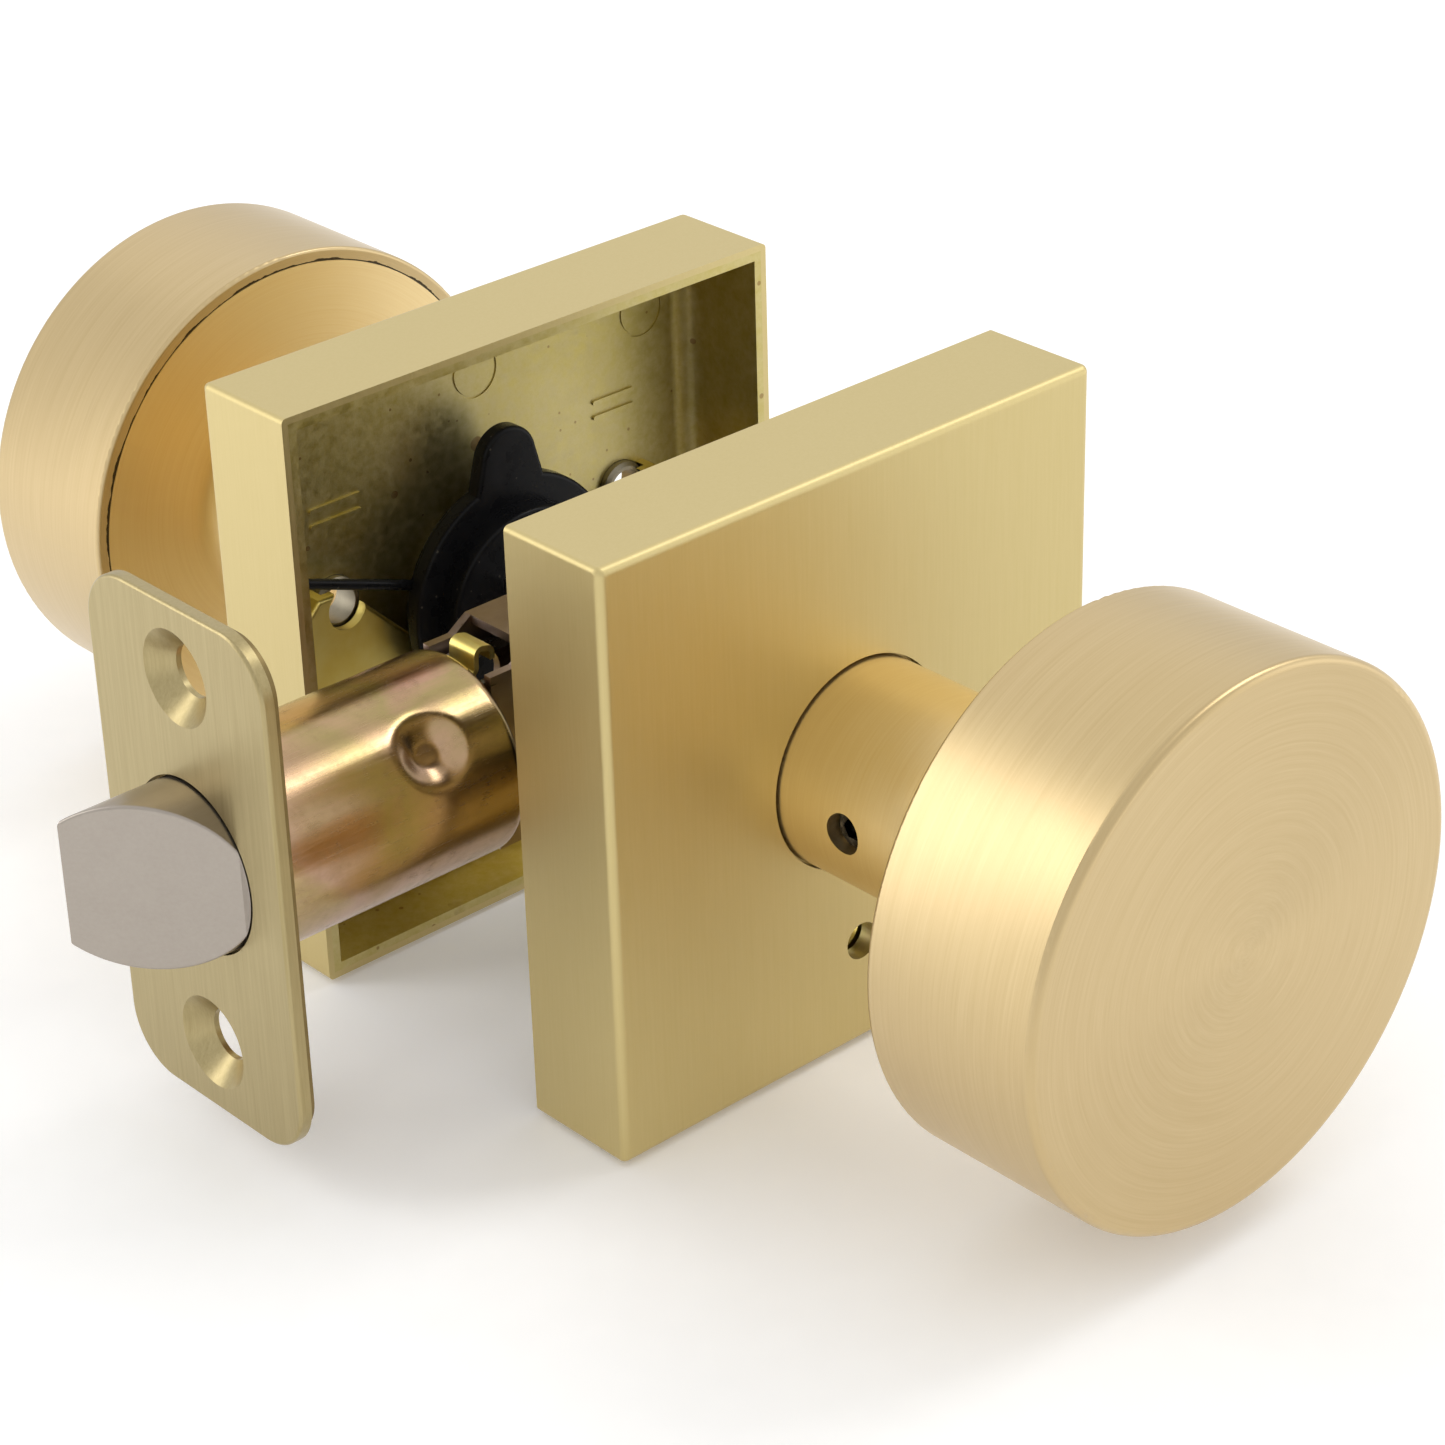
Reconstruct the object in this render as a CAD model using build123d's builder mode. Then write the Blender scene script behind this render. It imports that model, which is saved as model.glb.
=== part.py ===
from build123d import *
from math import cos, radians, sin
import os

# Tubular door knob set: two drum knobs on square roses and a sprung tubular latch, as hung in a door.
#
# Axes: +Z up, Y through the door along the spindle, -X towards the edge of the door that the bolt leaves.
# The origin is on the spindle's axis, midway between the two faces of the door.
# The outside of the door is -Y.

# ---------------------------------------------------------------- driving dimensions, in millimetres
door_thickness = 35.0       # between the rims of the two roses
backset = 60.3              # spindle axis to the door edge, where the faceplate's front lies

rose_size = 66.7            # square
rose_depth = 13.8
rose_wall = 1.7
rose_face = 2.2
rose_edge = 0.9             # rounding round the face
rose_corner = 0.6           # rounding of the four corners
rose_root = 2.6             # fillet between walls and face, inside
rose_counterbore = 1.3      # depth to which the neck enters the face, with its clearance
rib_height = 0.3            # cast ribs on the inside of the face
pin_mark_depth = 0.15       # ejector pin marks
release_hole = 4.2          # emergency release hole
release_drop = 21.3         # spindle axis to the release hole

screw_spread = 41.2         # between the two through-bolt holes
screw_rise = 4.3            # height of those holes over the spindle
collar_diameter = 6.0
collar_bore = 4.4
collar_height = 1.1         # over the inside of the rose's face

knob_diameter = 58.2
knob_depth = 20.9
knob_standoff = 30.5        # rose's face to the back of the knob
knob_skin = 1.2
knob_edge = 0.9             # rounding of the knob's front edge
knob_rim = 1.5              # rolled rim round the back plate
back_plate = 2.0

neck_diameter = 22.9
neck_flare = 4.0            # fillet between neck and back plate
grub_hole = 4.4             # set screw through the neck
grub_length = 2.6
grub_socket = 1.25          # across the corners of its hexagon, as a radius
grub_offset = 9.2           # rose's face to the set screw

spindle_side = 8.0
sleeve_diameter = 16.0
sleeve_flat = 0.6           # depth of the flat under the set screw
sleeve_tail = 6.0           # sleeve beyond the set screw

cam_diameter = 28.0         # drive cam inside the rose
cam_thickness = 1.8
cam_setback = 4.4           # inside of the rose's face to the cam
cam_tab_reach = 20.0        # spindle axis to the tab's tip
cam_tab_tip = 7.2
cam_tab_root = 9.8
cam_tab_crown = 2.6         # height of the tab's rounded end
cam_cap = 0.8               # cap over the sleeve's end, with the spindle's hole
hub_ring_diameter = 22.0
hub_ring_height = 2.0
barrel_diameter = 23.6      # the cam's barrel, which carries the spring
spring_wire = 1.2
spring_turns = 1
spring_leg_angle = 20.0     # legs off the horizontal, up on the left and down on the right

plate_sheet = 1.2           # mounting plate, pressed into a shallow tray
plate_stand = 2.6           # tray's face over the inside of the rose's face
plate_notch = 10.0          # spindle axis to the plate's slanted edges
plate_ear_top = 6.4         # height of the ears round the screw holes
plate_ear_side = 24.2       # spindle axis to the outer corner of the ears
washer_diameter = 18.0

faceplate_height = 57.15
faceplate_width = 28.6
faceplate_thickness = 1.4
faceplate_corner = 6.35
faceplate_screws = 41.3     # between the two wood screw holes
faceplate_screw_hole = 5.6
dish_diameter = 10.2        # pressed countersinks
dish_depth = 2.8
dish_sheet = 0.6
fixed_plate_thickness = 1.0     # the latch's own plate, behind the faceplate
fixed_plate_inset = 0.9

tube_diameter = 22.2
tube_wall = 0.8
tube_length = 31.0
tube_lip = 1.3              # rounding of the tube's inner end
dimple_diameter = 8.4
dimple_depth = 1.4
dimple_offset = 9.9         # tube's end to the dimples
dimple_angle = 39.0         # over the horizontal
bolt_diameter = 18.4
bolt_throw = 11.2
bolt_inside = 8.3           # bolt behind the faceplate's front, at rest
bolt_collar = 5.6
bolt_flat = 5.9             # bolt's axis to the flat along its back
bolt_heel = 8.0             # bolt's axis to the foot of its bevel
bolt_edge = 0.3             # rounding over and under the bevel

case_height = 23.2          # latch case round the hub
case_width = 10.8
case_sheet = 1.0
case_shoulder = 20.0        # its height next to the tube
case_neck = 13.0            # its height inside the tube
case_neck_length = 9.6
case_back = 15.0            # spindle axis to the back of the case
case_step = 21.0            # spindle axis to where the case reaches its full height
cap_thickness = 1.0
rivet_diameter = 2.6
bolt_clearance = 6.0        # holes in the case for the through-bolts

hub_diameter = 13.8
finger_radius = 9.3         # spindle axis to the centre of a finger's tip
finger_tip = 1.0            # radius of that tip
finger_thickness = 5.4
finger_slack = 0.35         # lead that a finger's flank has over its tip in the first half of the turn
turn_angle = 72.0           # knob's travel
strap_low = 7.3             # retractor straps, from the axis
strap_high = 8.7
strap_sheet = 0.8
strap_outside = 3.8
hook_low = 7.6
hook_high = 10.1
hook_length = 2.2
clip_width = 4.0            # sprung clip on the case's cap, curled over behind the tube
clip_sheet = 0.6
clip_low = 8.8
clip_crown = 11.9
clip_reach = 3.7            # tube's end to the clip's end
bolt_spring_wire = 0.9
bolt_spring_diameter = 7.0
bolt_spring_turns = 8

running = 0.05              # radial clearance of a turning or sliding fit
gap = 0.3                   # between pieces that only pass each other

# ---------------------------------------------------------------- dependent sizes
rim = door_thickness / 2
rose_outside = rim + rose_depth
rose_floor = rose_outside - rose_face
rose_inside = rose_size - 2 * rose_wall
knob_back = rose_outside + knob_standoff
knob_r = knob_diameter / 2
neck_r = neck_diameter / 2
sleeve_r = sleeve_diameter / 2
square_bore = spindle_side + 2 * running
grub_y = rose_outside + grub_offset
neck_end = rose_outside - rose_counterbore + gap
cam_plane = rose_floor - cam_setback
cam_front = cam_plane - cam_thickness
sleeve_end = cam_front - hub_ring_height
sleeve_far = grub_y + sleeve_tail
coil_r = barrel_diameter / 2 + gap + spring_wire / 2
coil_y = cam_plane + gap + spring_wire / 2
spring_leg_reach = (rose_inside / 2 - gap) / cos(radians(spring_leg_angle)) - spring_wire / 4
spindle_length = 2 * sleeve_far - 1
plate_face = rose_floor - plate_stand
barrel_end = plate_face - gap
bolt_r = bolt_diameter / 2
tube_r = tube_diameter / 2
tube_bore = tube_r - tube_wall

# ---------------------------------------------------------------- helpers


def across(y, side):
    """Plane at depth y on one side of the door, +Z up in it. Extruding from it goes away from the door."""
    return Plane(origin=(0, side * y, 0), x_dir=(-side, 0, 0), z_dir=(0, side, 0))


def along(x, way=1):
    """Plane square to the bolt at x, with +Z up in it. Extruding from it goes to +X, or to -X for way -1."""
    return Plane(origin=(x, 0, 0), x_dir=(0, way, 0), z_dir=(way, 0, 0))


def outer_face(part, side):
    """The face of a part that is furthest from the door on its side."""
    return part.faces().sort_by(Axis.Y)[-1 if side > 0 else 0]


def inner_face(part, side):
    """The face of a part that is nearest to the door's middle on its side."""
    return part.faces().sort_by(Axis.Y)[0 if side > 0 else -1]


def save(shape, label):
    """Label one finished piece and write it as its own STEP file."""
    shape.label = label
    export_step(shape, f"parts/{label}.step")


os.makedirs("parts", exist_ok=True)


# ---------------------------------------------------------------- one side of the door: rose, knob, drive
def build_rose(side, label):
    """Die-cast square cup, open towards the door, its face pierced for the neck and the release hole."""
    with BuildPart() as rose:
        with BuildSketch(across(rim, side)):
            Rectangle(rose_size, rose_size)
        extrude(amount=rose_depth)
        fillet(rose.edges().filter_by(Axis.Y), rose_corner)
        fillet(outer_face(rose, side).edges(), rose_edge)
        with BuildSketch(across(rim, side)):
            Rectangle(rose_inside, rose_inside)
        extrude(amount=rose_depth - rose_face, mode=Mode.SUBTRACT)
        floor = rose.faces().filter_by(Axis.Y).filter_by(
            lambda face: abs(abs(face.center().Y) - rose_floor) < 0.01
        )
        fillet(floor.edges(), rose_root)
        # Clearance for the neck from outside, and behind it a web that the sleeve turns in.
        with BuildSketch(across(rose_outside - rose_counterbore, side)):
            Circle(neck_r + gap)
        extrude(amount=rose_counterbore, mode=Mode.SUBTRACT)
        with BuildSketch(across(rose_floor, side)):
            Circle(sleeve_r + running)
            with Locations((0, -release_drop)):
                Circle(release_hole / 2)
            # Through-bolts enter from the inside of the door, so only that rose is pierced for them.
            if side > 0:
                with Locations((-screw_spread / 2, screw_rise), (screw_spread / 2, screw_rise)):
                    Circle(collar_diameter / 2 + running)
        extrude(amount=rose_face, mode=Mode.SUBTRACT)
        # Two pairs of cast ribs, one each side of the cam's tab.
        with BuildSketch(across(rose_floor, side)):
            for rib_x, rib_length in ((-19.4, 6.9), (20.0, 6.1)):
                for rib_z in (13.75, 15.6):
                    with Locations((-side * rib_x, rib_z)):
                        SlotOverall(rib_length, 0.55)
        extrude(amount=-rib_height)
        # Shallow rings that the mould's ejector pins left.
        with BuildSketch(across(rose_floor - pin_mark_depth, side)):
            for mark_x, mark_z in ((0.6, 24.6), (24.6, 24.6)):
                with Locations((-side * mark_x, mark_z)):
                    Circle(3.1)
                    Circle(2.8, mode=Mode.SUBTRACT)
        extrude(amount=2 * pin_mark_depth, mode=Mode.SUBTRACT)
    save(rose.part, f"{label}_rose")


def build_knob_shell(side, label):
    """Drawn brass drum whose edge is rolled in round the back plate."""
    with BuildPart() as shell:
        with BuildSketch(across(knob_back, side)):
            Circle(knob_r)
        extrude(amount=knob_depth)
        fillet(outer_face(shell, side).edges(), knob_edge)
        fillet(inner_face(shell, side).edges(), knob_edge / 2)
        with BuildSketch(across(knob_back + back_plate, side)):
            Circle(knob_r - knob_skin)
        extrude(amount=knob_depth - back_plate - knob_skin, mode=Mode.SUBTRACT)
        with BuildSketch(across(knob_back, side)):
            Circle(knob_r - knob_rim)
        extrude(amount=back_plate, mode=Mode.SUBTRACT)
    save(shell.part, f"{label}_knob_shell")


def build_shank(side, label):
    """Back plate and neck in one turning, joined by a flare and bored for the sleeve and the set screw."""
    with BuildPart() as shank:
        with BuildSketch(across(knob_back, side)):
            Circle(knob_r - knob_rim - running)
        extrude(amount=back_plate)
        with BuildSketch(across(neck_end, side)):
            Circle(neck_r)
        extrude(amount=knob_back - neck_end)
        flare = shank.edges().filter_by(GeomType.CIRCLE).filter_by(
            lambda edge: abs(edge.radius - neck_r) < 0.01 and abs(abs(edge.center().Y) - knob_back) < 0.01
        )
        fillet(flare, neck_flare)
        with BuildSketch(across(neck_end, side)):
            Circle(sleeve_r + running)
        extrude(amount=sleeve_far - neck_end + gap, mode=Mode.SUBTRACT)
        with BuildSketch(Plane(origin=(-neck_r - 1, side * grub_y, 0), x_dir=(0, 1, 0), z_dir=(1, 0, 0))):
            Circle(grub_hole / 2)
        extrude(amount=neck_r + 1, mode=Mode.SUBTRACT)
    save(shank.part, f"{label}_shank")


def build_set_screw(side, label):
    """Socket set screw in the neck, seated on the sleeve's flat and sunk below the surface."""
    seat = Plane(origin=(sleeve_flat - sleeve_r, side * grub_y, 0), x_dir=(0, 1, 0), z_dir=(-1, 0, 0))
    with BuildPart() as grub:
        with BuildSketch(seat):
            Circle(grub_hole / 2 - running)
        extrude(amount=grub_length)
        chamfer(grub.faces().sort_by(Axis.X)[0].edges(), gap)
        with BuildSketch(seat.offset(grub_length)):
            RegularPolygon(grub_socket, 6)
        extrude(amount=-grub_length * 0.6, mode=Mode.SUBTRACT)
    save(grub.part, f"{label}_set_screw")


def build_sleeve(side, label):
    """Steel drive sleeve: square inside for the spindle, round outside for the rose's web and the neck."""
    with BuildPart() as sleeve:
        with BuildSketch(across(sleeve_end, side)):
            Circle(sleeve_r)
            Rectangle(square_bore, square_bore, mode=Mode.SUBTRACT)
        extrude(amount=sleeve_far - sleeve_end)
        with BuildSketch(Plane(origin=(-sleeve_r, side * grub_y, 0), x_dir=(0, 1, 0), z_dir=(1, 0, 0))):
            Rectangle(grub_hole + 2, sleeve_diameter)
        extrude(amount=sleeve_flat, mode=Mode.SUBTRACT)
    save(sleeve.part, f"{label}_sleeve")


def build_washer(side, label):
    """Thrust washer between the cam's barrel and the inside of the rose."""
    with BuildPart() as washer:
        with BuildSketch(across(barrel_end, side)):
            Circle(washer_diameter / 2)
            Circle(sleeve_r + running, mode=Mode.SUBTRACT)
        extrude(amount=rose_floor - barrel_end)
    save(washer.part, f"{label}_thrust_washer")


def build_cam(side, label):
    """Black drive cam pressed on the sleeve: a barrel for the spring, a disc with an upright tab, a ring."""
    shoulder_z = cam_diameter / 2 - 1.5
    tip_z = cam_tab_reach - cam_tab_crown
    with BuildPart() as cam:
        with BuildSketch(across(cam_front, side)):
            Circle(cam_diameter / 2)
            with BuildLine():
                Polyline((-cam_tab_root / 2, 0), (-cam_tab_root / 2, shoulder_z), (-cam_tab_tip / 2, tip_z))
                ThreePointArc((-cam_tab_tip / 2, tip_z), (0, cam_tab_reach), (cam_tab_tip / 2, tip_z))
                Polyline((cam_tab_tip / 2, tip_z), (cam_tab_root / 2, shoulder_z), (cam_tab_root / 2, 0))
                Line((cam_tab_root / 2, 0), (-cam_tab_root / 2, 0))
            make_face()
        extrude(amount=cam_thickness)
        fillet(inner_face(cam, side).edges(), 0.5)
        with BuildSketch(across(sleeve_end - cam_cap, side)):
            Circle(hub_ring_diameter / 2)
        extrude(amount=hub_ring_height + cam_cap)
        fillet(inner_face(cam, side).edges(), 0.5)
        with BuildSketch(across(cam_plane, side)):
            Circle(barrel_diameter / 2)
        extrude(amount=barrel_end - cam_plane)
        with BuildSketch(across(sleeve_end, side)):
            Circle(sleeve_r)
        extrude(amount=barrel_end - sleeve_end, mode=Mode.SUBTRACT)
        with BuildSketch(across(sleeve_end - cam_cap, side)):
            Rectangle(square_bore, square_bore)
        extrude(amount=cam_cap, mode=Mode.SUBTRACT)
    save(cam.part, f"{label}_drive_cam")


def build_return_spring(side, label):
    """Torsion spring wound round the cam's barrel, with a leg bent out to each side wall."""
    with BuildPart() as spring:
        for turn in range(spring_turns):
            with Locations((0, side * (coil_y + turn * spring_wire * 0.96), 0)):
                Torus(coil_r, spring_wire / 2, rotation=(90, 0, 0))
        for way in (-1, 1):
            direction = Vector(way * cos(radians(spring_leg_angle)), 0, -way * sin(radians(spring_leg_angle)))
            start = direction * coil_r + Vector(0, side * coil_y, 0)
            with BuildSketch(Plane(origin=start, z_dir=direction)):
                Circle(spring_wire / 2)
            extrude(amount=spring_leg_reach - coil_r)
    save(spring.part, f"{label}_return_spring")


def build_mounting_plate(side, label):
    """Zinc-plated tray on the rose's floor: two ears round the screw collars, joined under the spindle."""
    half = rose_inside / 2 - rose_root - gap
    slant = plate_notch * 2**0.5
    ear_drop = half - plate_ear_side
    with BuildPart() as plate:
        with BuildSketch(across(plate_face, side)) as outline:
            with BuildLine():
                Polyline(
                    (-half, -half),
                    (-half, plate_ear_top - ear_drop),
                    (-plate_ear_side, plate_ear_top),
                    (-slant - plate_ear_top, plate_ear_top),
                    (-slant / 2, -slant / 2),
                    (-slant / 4, -slant * 3 / 4),
                    (slant / 4, -slant * 3 / 4),
                    (slant / 2, -slant / 2),
                    (slant + plate_ear_top, plate_ear_top),
                    (plate_ear_side, plate_ear_top),
                    (half, plate_ear_top - ear_drop),
                    (half, -half),
                    close=True,
                )
            make_face()
        extrude(amount=plate_stand)
        fillet(inner_face(plate, side).edges(), 0.5)
        with BuildSketch(across(plate_face + plate_sheet, side)):
            offset(outline.sketch_local, amount=-plate_sheet)
        extrude(amount=plate_stand - plate_sheet, mode=Mode.SUBTRACT)
        with BuildSketch(across(plate_face, side)):
            with Locations((-screw_spread / 2, screw_rise), (screw_spread / 2, screw_rise)):
                Circle(collar_bore / 2 + gap)
            with Locations((0, -release_drop)):
                Circle(release_hole / 2 + 1)
        extrude(amount=plate_sheet, mode=Mode.SUBTRACT)
        # The walls stand clear of the collars, which rise into the tray.
        with BuildSketch(across(plate_face + plate_sheet, side)):
            with Locations((-screw_spread / 2, screw_rise), (screw_spread / 2, screw_rise)):
                Circle(collar_diameter / 2 + gap)
        extrude(amount=plate_stand - plate_sheet, mode=Mode.SUBTRACT)
    save(plate.part, f"{label}_mounting_plate")


def build_collars(side, label):
    """Steel collars that locate the plate: open bushes inside the door, threaded seats outside."""
    depth = rose_face if side > 0 else 0
    with BuildPart() as collars:
        with BuildSketch(across(rose_floor - collar_height, side)):
            with Locations((-screw_spread / 2, screw_rise), (screw_spread / 2, screw_rise)):
                Circle(collar_diameter / 2)
        extrude(amount=collar_height + depth)
        near_door = collars.faces().filter_by(
            lambda face: abs(abs(face.center().Y) - rose_floor + collar_height) < 0.01
        )
        chamfer(near_door.edges(), 0.4)
        with BuildSketch(across(rose_floor - collar_height, side)):
            with Locations((-screw_spread / 2, screw_rise), (screw_spread / 2, screw_rise)):
                Circle(collar_bore / 2)
        extrude(amount=collar_height + depth, mode=Mode.SUBTRACT)
    save(collars.part, f"{label}_screw_collars")


for side, label in ((-1, "front"), (1, "back")):
    build_rose(side, label)
    build_knob_shell(side, label)
    build_shank(side, label)
    build_set_screw(side, label)
    build_sleeve(side, label)
    build_washer(side, label)
    build_cam(side, label)
    build_return_spring(side, label)
    build_mounting_plate(side, label)
    build_collars(side, label)

# ---------------------------------------------------------------- spindle, through both sleeves and the hub
with BuildPart() as spindle:
    with BuildSketch(across(-spindle_length / 2, 1)):
        RectangleRounded(spindle_side, spindle_side, 0.5)
    extrude(amount=spindle_length)
save(spindle.part, "spindle")

# ---------------------------------------------------------------- latch: plates on the door's edge
plate_x = -backset
fixed_x = plate_x + faceplate_thickness
tube_x = fixed_x + fixed_plate_thickness
tube_end = tube_x + tube_length
hole_r = faceplate_screw_hole / 2
dish_r = dish_diameter / 2
dish_places = [(plate_x, 0, height) for height in (-faceplate_screws / 2, faceplate_screws / 2)]

with BuildPart() as faceplate:
    with BuildSketch(along(fixed_x, -1)):
        RectangleRounded(faceplate_width, faceplate_height, faceplate_corner)
    extrude(amount=faceplate_thickness)
    fillet(faceplate.faces().sort_by(Axis.X)[0].edges(), 0.35)
    with BuildSketch(along(fixed_x, -1)):
        Circle(bolt_r + gap)
    extrude(amount=faceplate_thickness, mode=Mode.SUBTRACT)
    # Pressed countersinks, which stand out behind the plate.
    for place in dish_places:
        with BuildSketch(Plane(origin=place, x_dir=(1, 0, 0), z_dir=(0, -1, 0))):
            with BuildLine():
                Polyline(
                    (faceplate_thickness / 2, 0),
                    (faceplate_thickness / 2, dish_r + dish_sheet),
                    (faceplate_thickness, dish_r + dish_sheet),
                    (dish_depth, hole_r + dish_sheet),
                    (dish_depth, 0),
                    close=True,
                )
            make_face()
        revolve(axis=Axis(place, (1, 0, 0)))
        with BuildSketch(Plane(origin=place, x_dir=(1, 0, 0), z_dir=(0, -1, 0))):
            with BuildLine():
                Polyline(
                    (0, 0),
                    (0, dish_r),
                    (dish_depth - dish_sheet, hole_r),
                    (dish_depth, hole_r),
                    (dish_depth, 0),
                    close=True,
                )
            make_face()
        revolve(axis=Axis(place, (1, 0, 0)), mode=Mode.SUBTRACT)
save(faceplate.part, "faceplate")

with BuildPart() as fixed_plate:
    with BuildSketch(along(fixed_x)):
        RectangleRounded(
            faceplate_width - 2 * fixed_plate_inset,
            faceplate_height - 2 * fixed_plate_inset,
            faceplate_corner - fixed_plate_inset,
        )
        Circle(bolt_r + running, mode=Mode.SUBTRACT)
        with GridLocations(0, faceplate_screws, 1, 2):
            Circle(dish_r + dish_sheet + gap, mode=Mode.SUBTRACT)
    extrude(amount=fixed_plate_thickness)
save(fixed_plate.part, "fixed_plate")

# ------------------------------------------------ latch tube: drawn cup, dimpled to hold the case
dimple_ball = (dimple_diameter**2 / 4 + dimple_depth**2) / (2 * dimple_depth)
dimple_reach = tube_r - dimple_depth + dimple_ball
dimple_x = tube_end - dimple_offset
dimple_spots = [
    (dimple_x, way * dimple_reach * cos(radians(dimple_angle)), dimple_reach * sin(radians(dimple_angle)))
    for way in (-1, 1)
]
with BuildPart() as tube:
    with BuildSketch(along(tube_x)):
        Circle(tube_r)
    extrude(amount=tube_length)
    fillet(tube.faces().sort_by(Axis.X)[-1].edges(), tube_lip)
    with BuildSketch(along(tube_x)):
        Circle(tube_bore)
    extrude(amount=tube_length - tube_wall, mode=Mode.SUBTRACT)
    with BuildSketch(along(tube_x)):
        Circle(tube_r - tube_lip - 0.1)
    extrude(amount=tube_length, mode=Mode.SUBTRACT)
    with Locations(*dimple_spots):
        Sphere(dimple_ball + tube_wall)
    with BuildSketch(along(tube_x)):
        Circle(3 * tube_r)
        Circle(tube_r, mode=Mode.SUBTRACT)
    extrude(amount=tube_length, mode=Mode.SUBTRACT)
    with Locations(*dimple_spots):
        Sphere(dimple_ball, mode=Mode.SUBTRACT)
save(tube.part, "latch_tube")

# ------------------------------------------------ latch case: folded channel and riveted cover
case_half = case_width / 2
case_front = tube_end + gap
neck_front = tube_end - case_neck_length
cap_x = tube_end - tube_wall - running - cap_thickness
rivet_spots = [(case_back - 2.6, 6.0), (case_back - 2.6, -6.0), (-16.5, -4.0)]


# Outline of a side, with the hub's bearing, the through-bolt's clearance and the rivets' holes.
with BuildSketch() as case_outline:
    with BuildLine():
        Polyline(
            (neck_front, -case_neck / 2),
            (neck_front, case_neck / 2),
            (case_front, case_neck / 2),
            (case_front, case_shoulder / 2),
            (-case_step - 2.4, case_shoulder / 2),
            (-case_step, case_height / 2),
            (case_back - 3, case_height / 2),
            (case_back, case_height / 2 - 3),
            (case_back, 3 - case_height / 2),
            (case_back - 3, -case_height / 2),
            (-case_step, -case_height / 2),
            (-case_step - 2.4, -case_shoulder / 2),
            (case_front, -case_shoulder / 2),
            (case_front, -case_neck / 2),
            close=True,
        )
    make_face()
    Circle(hub_diameter / 2 + running, mode=Mode.SUBTRACT)
    with Locations((-screw_spread / 2, screw_rise)):
        Circle(bolt_clearance / 2, mode=Mode.SUBTRACT)
    with Locations(*rivet_spots):
        Circle(rivet_diameter / 2 + running, mode=Mode.SUBTRACT)

with BuildPart() as case:
    with BuildSketch(Plane.XZ.offset(-case_half)):
        add(case_outline.sketch)
    extrude(amount=case_sheet)
    web_length = case_back - 3 + case_step
    with Locations(
        ((case_back - 3 - case_step) / 2, case_sheet / 2, case_height / 2 - case_sheet / 2),
        ((case_back - 3 - case_step) / 2, case_sheet / 2, case_sheet / 2 - case_height / 2),
    ):
        Box(web_length, case_width - case_sheet, case_sheet)
    with BuildSketch(along(cap_x)):
        Circle(tube_bore - running)
        with GridLocations(0, strap_low + strap_high, 1, 2):
            Rectangle(2 * (strap_outside + gap), strap_high - strap_low + 2 * gap, mode=Mode.SUBTRACT)
        with Locations((-case_half + case_sheet / 2, 0)):
            Rectangle(case_sheet + 2 * running, case_neck + 2 * running, mode=Mode.SUBTRACT)
    extrude(amount=cap_thickness)
save(case.part, "latch_case")

with BuildPart() as cover:
    with BuildSketch(Plane.XZ.offset(case_half - case_sheet)):
        add(case_outline.sketch)
    extrude(amount=case_sheet)
save(cover.part, "latch_case_cover")

clip_root = cap_x + cap_thickness
clip_end = tube_end + clip_reach
with BuildPart() as clip:
    with BuildSketch(Plane.XZ):
        with BuildLine():
            FilletPolyline(
                (clip_root, clip_low),
                (tube_end + 1.2, clip_low),
                (tube_end + 1.4, clip_crown - clip_sheet / 2),
                (clip_end - clip_sheet / 2, clip_crown - 0.8),
                (clip_end - clip_sheet / 2, clip_low + 1.0),
                radius=0.7,
            )
        trace(line_width=clip_sheet)
    extrude(amount=clip_width / 2, both=True)
save(clip.part, "case_clip")

with BuildPart() as rivets:
    with BuildSketch(Plane.XZ.offset(-case_half - gap)):
        with Locations(*rivet_spots):
            Circle(rivet_diameter / 2)
    extrude(amount=case_width + 2 * gap)
    chamfer(rivets.faces().filter_by(Axis.Y).edges(), 0.2)
save(rivets.part, "case_rivets")

# ---------------------------------------------------------------- hub: square-bored barrel with two fingers
with BuildPart() as hub:
    with BuildSketch(Plane.XZ.offset(-case_half - gap / 2)):
        Circle(hub_diameter / 2)
    extrude(amount=case_width + gap)
    with BuildSketch(Plane.XZ):
        for way in (-1, 1):
            lean = radians(turn_angle / 2)
            middle = (-sin(lean) * finger_radius / 2, way * cos(lean) * finger_radius / 2)
            with Locations(middle):
                SlotCenterToCenter(finger_radius, 2 * finger_tip, rotation=way * (90 + turn_angle / 2))
    extrude(amount=finger_thickness / 2, both=True)
    with BuildSketch(Plane.XZ):
        Rectangle(square_bore, square_bore)
    extrude(amount=case_width, both=True, mode=Mode.SUBTRACT)
save(hub.part, "latch_hub")

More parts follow.
